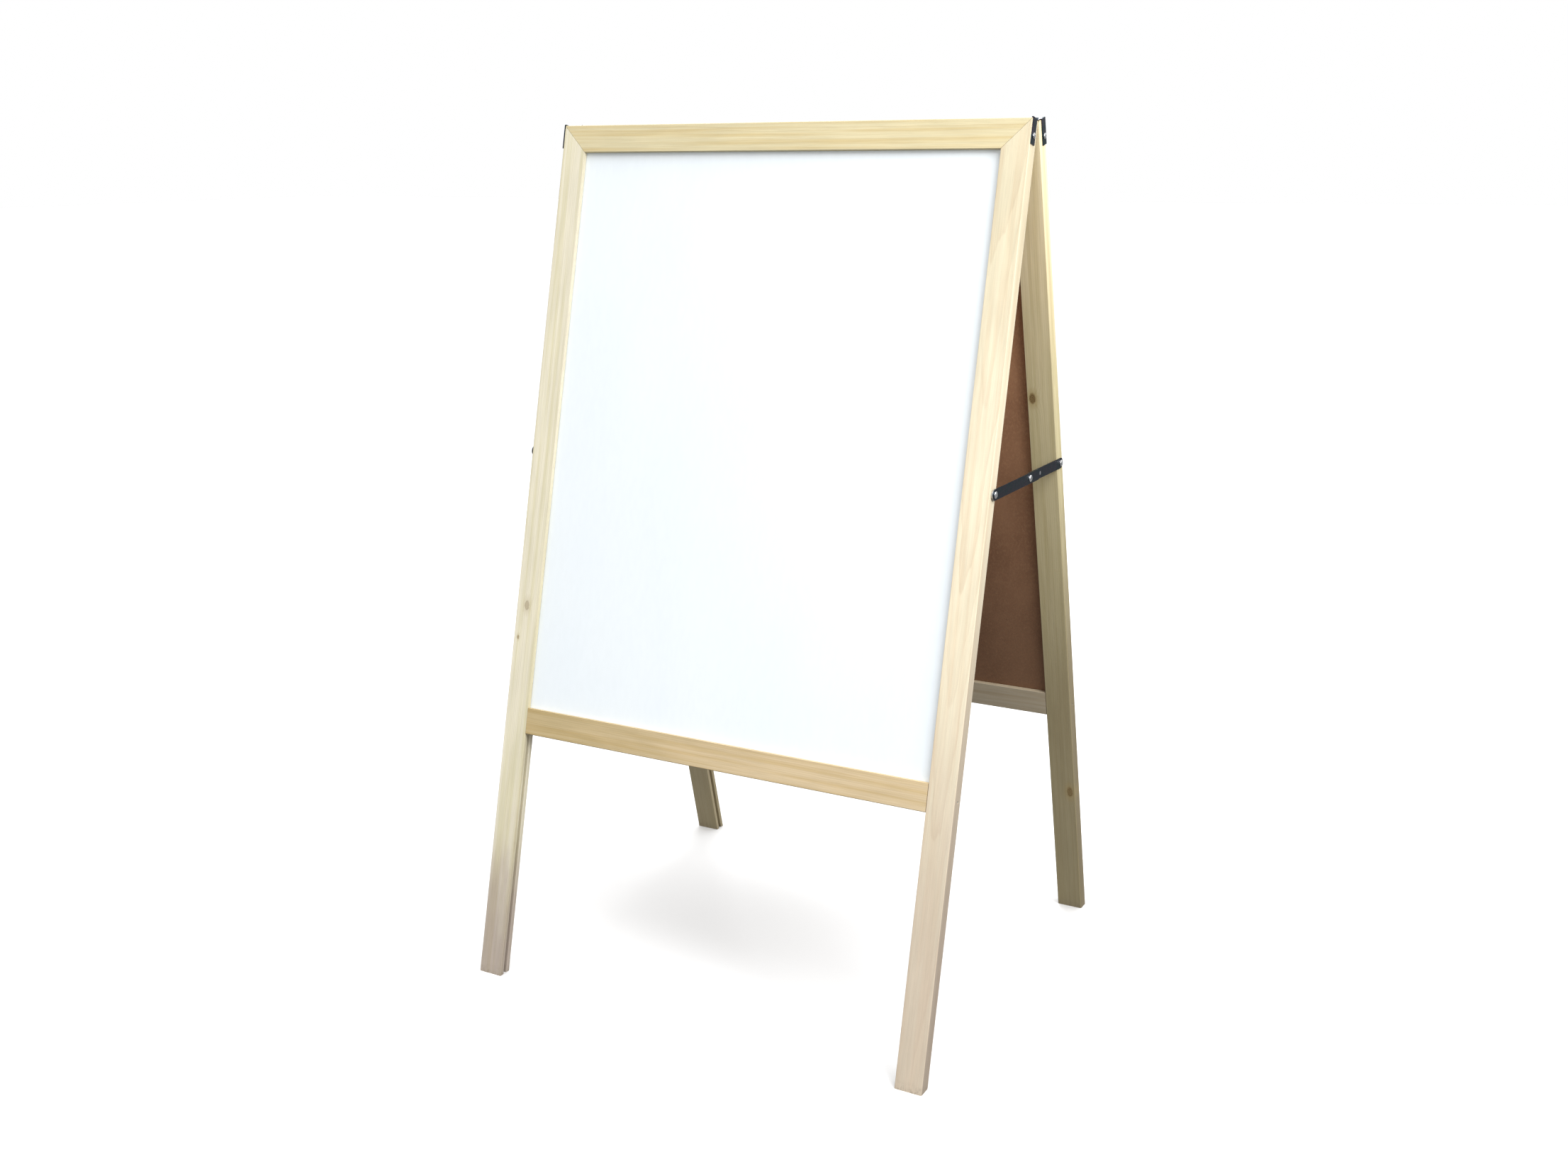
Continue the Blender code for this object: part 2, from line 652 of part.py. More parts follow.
def build():
    reach = STILE_LENGTH
    floor_cutter = add_box("floor_cutter", (-reach, -reach, -reach), (reach, reach, 0), None)
    empties, stiles = {}, {}
    for prefix, facing in (("front", FRONT), ("rear", REAR)):
        empty = add_hinge_empty(f"{prefix}_frame_hinge", facing)
        frame_stiles, top_rail, lower_rail = add_frame(prefix, facing, empty, floor_cutter)
        add_brads(prefix, facing, empty, frame_stiles, top_rail, lower_rail)
        empties[prefix], stiles[prefix] = empty, frame_stiles
    add_board("front", FRONT, empties["front"], "front_whiteboard_face", WHITE_FACE)
    add_board("rear", REAR, empties["rear"], "rear_chalkboard_face", BLACK_FACE)

    for word, side in SIDES.items():
        add_leaf(f"{word}_hinge_front_leaf", FRONT, side, (0, 2), empties["front"], stiles["front"][word])
        add_leaf(f"{word}_hinge_rear_leaf", REAR, side, (1,), empties["rear"], stiles["rear"][word])
        add_hinge_pin(f"{word}_hinge_pin", side, empties["front"])
        add_stay(word, side, empties["front"], empties["rear"], stiles)


build()
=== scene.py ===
"""Looks of the folding A-frame easel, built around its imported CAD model.

The wood, the boards and the small hidden steel are the CAD nodes with their own materials. The screws,
rivet heads, hinge leaves, hinge pins and stay links are rebuilt here with finer shapes, each standing for
its CAD node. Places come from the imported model. A wooden frame's own directions are across, depth
(outwards from its inner face) and drop (down from its top end), and they lean with it.
"""

import json

import bmesh
import bpy
from math import asin, cos, pi, radians, sin
from mathutils import Matrix, Vector

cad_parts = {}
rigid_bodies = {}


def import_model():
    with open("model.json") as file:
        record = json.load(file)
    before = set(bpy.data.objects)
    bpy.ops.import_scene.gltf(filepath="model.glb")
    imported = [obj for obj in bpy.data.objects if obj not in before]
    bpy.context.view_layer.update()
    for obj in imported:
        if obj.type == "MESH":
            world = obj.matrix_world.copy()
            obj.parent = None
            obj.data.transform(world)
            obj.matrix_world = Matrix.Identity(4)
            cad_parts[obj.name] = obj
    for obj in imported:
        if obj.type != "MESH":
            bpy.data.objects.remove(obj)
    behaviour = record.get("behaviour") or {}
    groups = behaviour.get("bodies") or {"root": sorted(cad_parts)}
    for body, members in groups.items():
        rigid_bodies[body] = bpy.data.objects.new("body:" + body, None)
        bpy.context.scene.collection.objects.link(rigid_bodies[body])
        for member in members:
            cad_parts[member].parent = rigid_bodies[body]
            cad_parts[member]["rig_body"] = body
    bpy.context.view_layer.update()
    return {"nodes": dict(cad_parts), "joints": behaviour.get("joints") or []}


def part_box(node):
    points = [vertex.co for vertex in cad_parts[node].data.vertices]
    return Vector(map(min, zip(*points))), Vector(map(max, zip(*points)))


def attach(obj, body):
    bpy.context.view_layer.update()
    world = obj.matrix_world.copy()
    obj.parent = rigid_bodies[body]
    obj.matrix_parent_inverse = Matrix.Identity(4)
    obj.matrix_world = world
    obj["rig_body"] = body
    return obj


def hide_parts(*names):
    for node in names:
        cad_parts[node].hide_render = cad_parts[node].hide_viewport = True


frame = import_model()

MM = 0.001

# Which way each side lies along X, and which way each wooden frame faces along Y.
SIDES = {"left": -1, "right": 1}
FACINGS = {"front": -1, "rear": 1}

JOINTS = {joint["name"]: joint for joint in frame["joints"]}
PIN = Vector(JOINTS["fold"]["pos_m"])
HALF_OPENING = radians(JOINTS["fold"]["range_deg"][1] / 2)


# Places in the wooden frames ----------------------------------------------------


def hanging(facing):
    """From a frame's own space, hanging straight down from the hinge line, to its place at rest."""
    return Matrix.Translation(PIN) @ Matrix.Rotation(facing * HALF_OPENING, 4, "X")


def own_box(node, facing):
    """The lowest and highest corners of a CAD node in its frame's own space."""
    inverse = hanging(facing).inverted()
    points = [inverse @ vertex.co for vertex in frame["nodes"][node].data.vertices]
    return tuple(Vector(pick(p[k] for p in points) for k in range(3)) for pick in (min, max))


STILE_LOW, STILE_HIGH = own_box("front_stile_left", FACINGS["front"])
HALF_WIDTH = -STILE_LOW.x
MEMBER_WIDTH = STILE_HIGH.x - STILE_LOW.x
MEMBER_THICKNESS = STILE_HIGH.y - STILE_LOW.y
INNER_FACE = -STILE_HIGH.y
TOP_DROP = -STILE_HIGH.z
RAIL_BOTTOM_DROP = -own_box("front_lower_rail", FACINGS["front"])[0].z


# Shader nodes -------------------------------------------------------------------

# The sockets of a Mix node that carry colours.
MIX_FIRST, MIX_SECOND, MIX_RESULT = 6, 7, 2


def rgba(colour):
    return colour if isinstance(colour, bpy.types.NodeSocket) else (*colour, 1.0)


class Shading:
    """A node tree under construction. An input is given a constant or another node's output."""

    def __init__(self, tree):
        self.tree = tree

    def give(self, socket, value):
        if isinstance(value, bpy.types.NodeSocket):
            self.tree.links.new(value, socket)
        else:
            socket.default_value = value

    def add(self, kind, values, output=0, **settings):
        made = self.tree.nodes.new(kind)
        for key, value in settings.items():
            setattr(made, key, value)
        for key, value in values.items():
            self.give(made.inputs[key], value)
        return made.outputs[output]

    def math(self, operation, *values):
        return self.add("ShaderNodeMath", dict(enumerate(values)), operation=operation)

    def vector(self, operation, *values, output=0):
        return self.add("ShaderNodeVectorMath", dict(enumerate(values)), output, operation=operation)

    def length(self, value):
        return self.vector("LENGTH", value, output="Value")

    def dot(self, first, second):
        return self.vector("DOT_PRODUCT", first, second, output="Value")

    def coordinates(self, which="Object"):
        return self.add("ShaderNodeTexCoord", {}, which)

    def split(self, point):
        made = self.tree.nodes.new("ShaderNodeSeparateXYZ")
        self.give(made.inputs[0], point)
        return made.outputs

    def noise(self, point, scale, detail=2.0, roughness=0.5, output="Fac"):
        """Noise at the point times `scale`. A smaller scale along an axis draws it out that way."""
        scaled = self.vector("MULTIPLY", point, scale)
        values = {"Vector": scaled, "Scale": 1.0, "Detail": detail, "Roughness": roughness}
        return self.add("ShaderNodeTexNoise", values, output)

    def drift(self, point, scale, amount, roughness=0.5):
        """A shift that changes from place to place, by up to half of `amount` either way."""
        centred = self.vector("SUBTRACT", self.noise(point, scale, 2.0, roughness, "Color"), (0.5, 0.5, 0.5))
        return self.vector("MULTIPLY", centred, amount)

    def fade(self, value, start, end, low=0.0, high=1.0):
        """Goes smoothly from low to high as value goes from start to end, whichever of them is larger."""
        values = {"Value": value, "From Min": start, "From Max": end, "To Min": low, "To Max": high}
        return self.add("ShaderNodeMapRange", values, interpolation_type="SMOOTHSTEP")

    def mix(self, share, first, second, blend="MIX"):
        made = self.tree.nodes.new("ShaderNodeMix")
        made.data_type = "RGBA"
        made.blend_type = blend
        self.give(made.inputs[0], share)
        self.give(made.inputs[MIX_FIRST], rgba(first))
        self.give(made.inputs[MIX_SECOND], rgba(second))
        return made.outputs[MIX_RESULT]

    def grey(self, value):
        return self.add("ShaderNodeCombineColor", {0: value, 1: value, 2: value})

    def shade(self, colour, value):
        """The colour times a number."""
        return self.mix(1.0, colour, self.grey(value), "MULTIPLY")


class Surface(Shading):
    """A material under construction."""

    def __init__(self, name):
        self.material = bpy.data.materials.new(name)
        self.material.use_nodes = True
        super().__init__(self.material.node_tree)
        self.shader = self.tree.nodes["Principled BSDF"]

    def set(self, socket, value):
        self.give(self.shader.inputs[socket], value)

    def bump(self, height, distance, strength):
        values = {"Height": height, "Distance": distance, "Strength": strength}
        self.set("Normal", self.add("ShaderNodeBump", values))


# A wooden member's own coordinates ----------------------------------------------


class Member:
    """Directions across a member's width, through its thickness and along its length, from one corner."""

    def __init__(self, facing, corner, across, along):
        turn = hanging(facing).to_3x3()
        self.corner = hanging(facing) @ Vector(corner)
        self.across = turn @ Vector(across)
        self.through = turn @ Vector((0, facing, 0))
        self.along = turn @ Vector(along)

    def point(self, surface):
        """The shaded point in the member's coordinates, in millimetres."""
        place = surface.vector("SUBTRACT", surface.coordinates(), self.corner)
        parts = [surface.dot(place, axis / MM) for axis in (self.across, self.through, self.along)]
        return surface.add("ShaderNodeCombineXYZ", dict(enumerate(parts)))


def stile(facing, side):
    """From the top of its outer edge, inwards and down."""
    corner = (side * HALF_WIDTH, facing * INNER_FACE, -TOP_DROP)
    return Member(facing, corner, (-side, 0, 0), (0, 0, -1))


def top_rail(facing):
    """From the left end of its top edge, down and to the right."""
    return Member(facing, (-HALF_WIDTH, facing * INNER_FACE, -TOP_DROP), (0, 0, -1), (1, 0, 0))


def lower_rail(facing):
    """From the left end of its bottom edge, up and to the right."""
    return Member(facing, (-HALF_WIDTH, facing * INNER_FACE, -RAIL_BOTTOM_DROP), (0, 0, 1), (1, 0, 0))


# Wood ---------------------------------------------------------------------------

END_GRAIN_TINT = (0.74, 0.66, 0.56)
SCUFF_BROWN = (0.26, 0.21, 0.16)
WORN_SHADE = 0.72
MILL_MARKS = 2.6  # radians per millimetre along a member
FOOT_STRENGTH = 0.6

# Where a member's head and side-edge tints come in, in millimetres along it, and how far that place drifts:
# on the stiles they are painted light and shade.
HEAD_FADE = (520.0, 130.0)
EDGE_FADE = (420.0, 800.0)
FADE_DRIFT = 240.0

# How far round a knot the rings bend, and by how much, in knot sizes.
KNOT_REACH = 2.1
KNOT_SWELL = 1.7
KNOT_RINGS = 4.2  # radians per millimetre from its middle
KNOT_HALO = (0.38, 0.28, 0.12)
KNOT_DARK = (0.15, 0.095, 0.035)
KNOT_BROWN = (0.25, 0.165, 0.065)


def knot_distance(surface, point, knot):
    """Distance in millimetres from a knot's middle, on the face of the member."""
    place = surface.vector("SUBTRACT", point, (knot["across"], 0.0, knot["along"]))
    ragged = surface.drift(point, (0.35, 0.0, 0.35), (3.0, 0.0, 3.0), 0.6)
    place = surface.vector("MULTIPLY", surface.vector("ADD", place, ragged), (1.0, 0.0, knot["squeeze"]))
    return surface.length(place)


def add_knot(surface, point, colour, knot):
    """Draws a knot: a tan halo, a brown heart and its own fine rings."""
    size = knot["size"]
    distance = knot_distance(surface, point, knot)
    halo = surface.fade(distance, 2.4 * size, 0.8 * size, 0.0, 0.55 * knot["depth"])
    colour = surface.mix(halo, colour, KNOT_HALO)
    own_rings = surface.math("SINE", surface.math("MULTIPLY", distance, KNOT_RINGS))
    heart = surface.mix(surface.fade(own_rings, -1.0, 1.0), KNOT_DARK, KNOT_BROWN)
    inside = surface.fade(distance, 1.05 * size, 0.7 * size, 0.0, knot["depth"])
    return surface.mix(inside, colour, heart)


def tree_rings(surface, point, wood):
    """How far the point is from the tree's heart, in rings, bent by slow waves and by the knots."""
    waves = surface.drift(point, (0.03, 0.03, 0.005), (wood["wave"], wood["wave"], 0.0))
    from_heart = surface.vector("SUBTRACT", surface.vector("ADD", point, waves), (*wood["heart"], 0.0))
    radius = surface.length(surface.vector("MULTIPLY", from_heart, (1.0, 1.0, 0.0)))
    radius = surface.math("MULTIPLY_ADD", surface.split(point)[2], wood["taper"], radius)
    ripple = surface.noise(point, (0.25, 0.25, 0.03))
    radius = surface.math("MULTIPLY_ADD", ripple, 0.9, radius)
    for knot in wood["knots"]:
        spread = surface.math("DIVIDE", knot_distance(surface, point, knot), KNOT_REACH * knot["size"])
        hill = surface.math("EXPONENT", surface.math("MULTIPLY", surface.math("POWER", spread, 2.0), -1.0))
        radius = surface.math("MULTIPLY_ADD", hill, KNOT_SWELL * knot["size"], radius)
    return surface.math("DIVIDE", radius, wood["ring"])


def late_wood(surface, rings):
    """The dark line at each ring's end. It builds up slowly, stops sharply and differs from ring to ring."""
    place_in_ring = surface.math("FRACT", rings)
    line = surface.math("POWER", place_in_ring, 3.0)
    line = surface.math("MULTIPLY", line, surface.fade(place_in_ring, 1.0, 0.93))
    ring = {"W": surface.math("FLOOR", rings)}
    depth = surface.add("ShaderNodeTexWhiteNoise", ring, noise_dimensions="1D")
    return surface.math("MULTIPLY", line, surface.fade(depth, 0.0, 1.0, 0.35, 1.0))


def facing_share(surface, axis):
    """One where the surface faces along an axis, either way, and zero where it does not."""
    turned_to = surface.dot(surface.coordinates("Normal"), axis)
    return surface.fade(surface.math("ABSOLUTE", turned_to), 0.75, 0.9)


def tone_along(surface, member, point, clouds, colour, wood):
    """Tints a member's foot, head and side edges. The side-edge tint is painted shade, the foot is partly the
    wood's own tone and partly painted shade, and on the right stiles the head tint is painted light and shade
    at the top.
    """
    place = surface.math("ADD", surface.split(point)[2], surface.math("MULTIPLY", clouds, FADE_DRIFT))
    # Partly the wood's own tone and partly painted shade, for legs that get less light lower down.
    if wood["foot"]:
        start, end = wood["foot_from"], wood["foot_from"] + wood["foot_span"]
        colour = surface.mix(surface.fade(place, start, end, 0.0, FOOT_STRENGTH), colour, wood["foot"])
    # On the right stiles this is painted light and shade at the top: the front one darkened, the rear one
    # brightened.
    if wood["head"]:
        colour = surface.mix(surface.fade(place, *HEAD_FADE), colour, wood["head"], "MULTIPLY")
    # Painted shade on the side faces, darker lower down where less light reaches them.
    if wood["edge"]:
        on_edge = facing_share(surface, member.across)
        share = surface.math("MULTIPLY", on_edge, surface.fade(place, *EDGE_FADE))
        colour = surface.mix(share, colour, wood["edge"], "MULTIPLY")
    return colour


def worn_edges(surface, point, fibres):
    """Where hands have darkened a member's long corners."""
    across, through, _ = surface.split(point)
    width, thickness = MEMBER_WIDTH / MM, MEMBER_THICKNESS / MM
    near_side = surface.math("MINIMUM", across, surface.math("SUBTRACT", width, across))
    near_face = surface.math("MINIMUM", through, surface.math("SUBTRACT", thickness, through))
    corner = surface.add("ShaderNodeCombineXYZ", {0: near_side, 1: near_face, 2: 0.0})
    near_corner = surface.fade(surface.length(corner), 1.9, 0.5)
    return surface.math("MULTIPLY", near_corner, surface.fade(fibres, 0.35, 0.75, 0.05, 0.28))


def scuffed_feet(surface, point):
    """Where the floor has rubbed the lowest centimetre of the legs."""
    height = surface.math("DIVIDE", surface.split(surface.coordinates())[2], MM)
    patches = surface.noise(point, (0.35, 0.35, 0.16), 3.0, 0.65)
    low = surface.fade(height, 13.0, 0.5)
    return surface.math("MULTIPLY", low, surface.fade(patches, 0.42, 0.66, 0.05, 0.6))


def wood_relief(surface, point, late, fibres, pores):
    """Raised fibres and late wood, sunken pores and the faint waves that the planer leaves."""
    waves = surface.math("SINE", surface.math("MULTIPLY", surface.split(point)[2], MILL_MARKS))
    height = surface.math("MULTIPLY_ADD", late, 0.35, fibres)
    height = surface.math("MULTIPLY_ADD", pores, -0.5, height)
    return surface.math("MULTIPLY_ADD", waves, 0.04, height)


def wood_material(name, member, wood):
    surface = Surface(f"wood_{name}")
    point = member.point(surface)
    late = late_wood(surface, tree_rings(surface, point, wood))
    streaks = surface.noise(point, (0.16, 0.16, 0.0035), 3.0, 0.55)
    fibres = surface.noise(point, (1.5, 1.5, 0.028), 4.0, 0.6)
    pores = surface.fade(surface.noise(point, (4.0, 4.0, 0.11), 2.0, 0.6), 0.60, 0.72)
    clouds = surface.noise(point, (0.05, 0.05, 0.012), 3.0)

    colour = surface.mix(surface.fade(streaks, 0.38, 0.68), wood["light"], wood["streak"])
    colour = surface.mix(surface.math("MULTIPLY", late, wood["contrast"]), colour, wood["dark"])
    colour = tone_along(surface, member, point, clouds, colour, wood)
    colour = surface.shade(colour, surface.fade(fibres, 0.25, 0.75, 0.93, 1.05))
    colour = surface.shade(colour, surface.fade(clouds, 0.3, 0.7, 0.955, 1.03))
    colour = surface.shade(colour, surface.fade(pores, 0.0, 1.0, 1.0, 0.94))
    for knot in wood["knots"]:
        colour = add_knot(surface, point, colour, knot)
    end_grain = facing_share(surface, member.along)
    colour = surface.mix(end_grain, colour, END_GRAIN_TINT, "MULTIPLY")
    colour = surface.mix(worn_edges(surface, point, fibres), colour, wood["worn"])
    colour = surface.mix(scuffed_feet(surface, point), colour, SCUFF_BROWN)
    surface.set("Base Color", colour)

    rough = surface.fade(fibres, 0.2, 0.8, 0.46, 0.60)
    surface.set("Roughness", surface.math("MULTIPLY_ADD", end_grain, 0.15, rough))
    surface.set("Specular IOR Level", 0.35)
    surface.bump(wood_relief(surface, point, late, fibres, pores), 0.16 * MM, 0.55)
    return surface.material


# The wood of each member --------------------------------------------------------

# Each wood's light, streaked and late-wood tones, as linear colours. The rear frame's olive and greyed tones
# are also darker as painted shade for the inside of the easel.
YELLOW = ((0.735, 0.685, 0.54), (0.65, 0.60, 0.41), (0.50, 0.425, 0.265))
GOLDEN = ((0.63, 0.555, 0.35), (0.575, 0.465, 0.245), (0.44, 0.335, 0.17))
TAN = ((0.60, 0.475, 0.30), (0.54, 0.405, 0.215), (0.42, 0.30, 0.145))
CREAM = ((0.75, 0.675, 0.505), (0.71, 0.605, 0.435), (0.55, 0.41, 0.27))
OLIVE = ((0.60, 0.53, 0.32), (0.51, 0.44, 0.24), (0.37, 0.31, 0.16))
GREYED_AND_SHADED = ((0.44, 0.38, 0.28), (0.385, 0.315, 0.215), (0.295, 0.235, 0.15))
# Painted shade for the stiles' side faces lower down.
PAINTED_SIDE_SHADE = (0.69, 0.67, 0.68)

UPPER_KNOT = {"across": 26.5, "along": 322.0, "size": 4.4, "squeeze": 0.6, "depth": 0.95}
LOWER_KNOT = {"across": 7.0, "along": 876.0, "size": 4.4, "squeeze": 0.5, "depth": 0.8}
PALE_KNOT = {"across": 15.5, "along": 600.0, "size": 3.9, "squeeze": 0.55, "depth": 0.42}
PIN_KNOT = {"across": 6.8, "along": 641.0, "size": 1.5, "squeeze": 0.5, "depth": 0.6}
BACK_KNOT = {"across": 20.0, "along": 452.0, "size": 3.0, "squeeze": 0.7, "depth": 0.7}


def wood_of(tones, **settings):
    """How one member's wood looks. Its heart, rings, waves and places are in millimetres, and taper is a
    slope. The foot is a colour to mix in, and the head and edge are tints to multiply by, if it has them."""
    light, streak, dark = tones
    wood = {
        "light": light,
        "streak": streak,
        "dark": dark,
        "worn": tuple(WORN_SHADE * part for part in dark),
        "heart": (-95.0, 30.0),
        "ring": 2.6,
        "wave": 5.0,
        "taper": 0.004,
        "contrast": 0.5,
        "knots": (),
        "foot": None,
        "foot_from": 560.0,
        "foot_span": 420.0,
        "head": None,
        "edge": None,
    }
    return wood | settings


WOODS = {
    "front_stile_left": wood_of(
        YELLOW,
        knots=(PALE_KNOT, PIN_KNOT),
        foot=(0.24, 0.165, 0.165),
        foot_from=950.0,
        foot_span=210.0,
    ),
    "front_stile_right": wood_of(
        CREAM,
        heart=(20.0, -26.0),
        ring=3.4,
        wave=9.0,
        taper=0.022,
        contrast=0.42,
        foot=(0.44, 0.355, 0.29),
        foot_from=640.0,
        # Painted shade: darkens the top of the stile.
        head=(0.86, 0.86, 0.82),
        edge=PAINTED_SIDE_SHADE,
    ),
    "front_top_rail": wood_of(GOLDEN, heart=(60.0, 70.0), ring=3.0),
    "front_lower_rail": wood_of(
        TAN,
        heart=(-70.0, 60.0),
        ring=2.2,
        contrast=0.55,
        head=(0.84, 0.83, 0.71),
    ),
    "rear_stile_left": wood_of(OLIVE, heart=(80.0, -30.0), foot=(0.31, 0.25, 0.17)),
    "rear_stile_right": wood_of(
        OLIVE,
        heart=(95.0, -12.0),
        knots=(UPPER_KNOT, LOWER_KNOT),
        foot=(0.20, 0.155, 0.095),
        foot_from=490.0,
        # Painted light: brightens the top of the stile.
        head=(1.55, 1.50, 1.65),
        edge=PAINTED_SIDE_SHADE,
    ),
    "rear_top_rail": wood_of(GOLDEN, heart=(50.0, -60.0), knots=(BACK_KNOT,)),
    "rear_lower_rail": wood_of(GREYED_AND_SHADED, heart=(40.0, -70.0)),
}


# Boards -------------------------------------------------------------------------

HARDBOARD_BROWN = (0.235, 0.118, 0.062)
HARDBOARD_TAN = (0.30, 0.158, 0.085)
HARDBOARD_FIBRE = (0.37, 0.21, 0.115)
HARDBOARD_SPECK = (0.10, 0.048, 0.025)
SCREEN_WAVES = (2600.0, 0.0, 2680.0)  # radians per metre

FILM_WHITE = (0.785, 0.83, 0.855)
FILM_WIPED = (0.765, 0.815, 0.85)

PAINT_BLACK = (0.021, 0.023, 0.022)
CHALK_DUST = (0.17, 0.175, 0.17)


def hardboard_material():
    """Brown pressed fibre with the pattern of the screen it was pressed on, and painted light: lighter
    towards the top.
    """
    surface = Surface("hardboard_back")
    point = surface.coordinates()
    specks = surface.noise(point, (900.0, 900.0, 900.0), 3.0, 0.7)
    fibres = surface.noise(point, (420.0, 260.0, 300.0), 3.0, 0.65)
    clouds = surface.noise(point, (14.0, 14.0, 9.0), 4.0, 0.55)
    colour = surface.mix(surface.fade(clouds, 0.32, 0.68), HARDBOARD_BROWN, HARDBOARD_TAN)
    colour = surface.mix(surface.fade(fibres, 0.42, 0.72, 0.0, 0.45), colour, HARDBOARD_FIBRE)
    colour = surface.mix(surface.fade(specks, 0.60, 0.74, 0.0, 0.55), colour, HARDBOARD_SPECK)
    # Painted light: brighter towards the top, where light falls in between the frames, and darker lower down.
    height = surface.split(point)[2]
    surface.set("Base Color", surface.shade(colour, surface.fade(height, 0.34, 0.92, 0.64, 1.85)))
    surface.set("Roughness", surface.fade(fibres, 0.3, 0.7, 0.66, 0.82))
    surface.set("Specular IOR Level", 0.3)
    across, _, up = surface.split(surface.vector("MULTIPLY", point, SCREEN_WAVES))
    screen = surface.math("MULTIPLY", surface.math("SINE", across), surface.math("SINE", up))
    surface.bump(surface.math("MULTIPLY_ADD", screen, 0.35, fibres), 0.18 * MM, 0.6)
    return surface.material


def whiteboard_material():
    """Glossy dry-erase film with faint wiping marks."""
    surface = Surface("dry_erase_film")
    point = surface.coordinates()
    wiped = surface.noise(point, (7.0, 7.0, 3.0), 4.0, 0.6)
    fine = surface.noise(point, (160.0, 160.0, 40.0), 3.0, 0.6)
    colour = surface.mix(surface.fade(wiped, 0.35, 0.7), FILM_WHITE, FILM_WIPED)
    surface.set("Base Color", surface.shade(colour, surface.fade(fine, 0.3, 0.7, 0.985, 1.0)))
    rough = surface.fade(wiped, 0.3, 0.7, 0.13, 0.24)
    surface.set("Roughness", surface.math("MULTIPLY_ADD", fine, 0.05, rough))
    surface.set("Coat Weight", 0.25)
    surface.set("Coat Roughness", 0.08)
    peel = surface.noise(point, (55.0, 55.0, 55.0))
    surface.bump(peel, 0.05 * MM, 0.25)
    return surface.material


def chalkboard_material():
    """Matt black paint with the haze that an eraser leaves."""
    surface = Surface("chalkboard_paint")
    point = surface.coordinates()
    bend = surface.noise(point, (3.0, 3.0, 3.0), output="Color")
    bent = surface.vector("MULTIPLY_ADD", bend, (0.03, 0.0, 0.03), point)
    wiped = surface.noise(bent, (3.2, 5.0, 40.0), 4.0, 0.6)
    grit = surface.noise(point, (1500.0, 1500.0, 1500.0), 2.0, 0.7)
    dust = surface.math("MULTIPLY", surface.fade(wiped, 0.42, 0.75), surface.fade(grit, 0.3, 0.75, 0.35, 1.0))
    colour = surface.mix(surface.math("MULTIPLY", dust, 0.28), PAINT_BLACK, CHALK_DUST)
    surface.set("Base Color", colour)
    surface.set("Roughness", surface.fade(wiped, 0.3, 0.7, 0.74, 0.92))
    surface.set("Specular IOR Level", 0.3)
    surface.bump(grit, 0.05 * MM, 0.5)
    return surface.material


# Steel --------------------------------------------------------------------------


def steel_material(name, plain, tinted, worn, roughness, wear):
    """Steel with rolling marks, a drifting tint and scratches down to brighter metal."""
    surface = Surface(name)
    point = surface.coordinates()
    rolled = surface.noise(point, (900.0, 60.0, 2600.0), 3.0, 0.6)
    clouds = surface.noise(point, (90.0, 90.0, 90.0), 3.0, 0.55)
    scratched = surface.fade(surface.noise(point, (300.0, 240.0, 2500.0)), 0.66, 0.74)
    colour = surface.mix(surface.fade(clouds, 0.35, 0.65), plain, tinted)
    colour = surface.shade(colour, surface.fade(rolled, 0.3, 0.7, 0.85, 1.12))
    colour = surface.mix(surface.math("MULTIPLY", scratched, wear), colour, worn)
    surface.set("Base Color", colour)
    surface.set("Metallic", 1.0)
    rough = surface.fade(clouds, 0.3, 0.7, roughness - 0.06, roughness + 0.08)
    surface.set("Roughness", surface.math("MULTIPLY_ADD", rolled, 0.06, rough))
    surface.bump(rolled, 0.02 * MM, 0.5)
    return surface.material


DARK_STEEL = steel_material(
    "blued_steel",
    plain=(0.036, 0.034, 0.062),
    tinted=(0.024, 0.05, 0.062),
    worn=(0.30, 0.32, 0.35),
    roughness=0.30,
    wear=0.3,
)
CUT_STEEL = steel_material(
    "cut_steel_edge",
    plain=(0.16, 0.17, 0.19),
    tinted=(0.12, 0.13, 0.15),
    worn=(0.5, 0.5, 0.5),
    roughness=0.34,
    wear=0.6,
)
BRIGHT_STEEL = steel_material(
    "zinc_steel",
    plain=(0.78, 0.79, 0.80),
    tinted=(0.70, 0.72, 0.75),
    worn=(0.55, 0.55, 0.54),
    roughness=0.22,
    wear=0.4,
)


# Shading of the CAD nodes -------------------------------------------------------

SHARP_ANGLE = radians(36)
WELD_DISTANCE = 0.002 * MM
LARGE_FACE_WEIGHT = 80


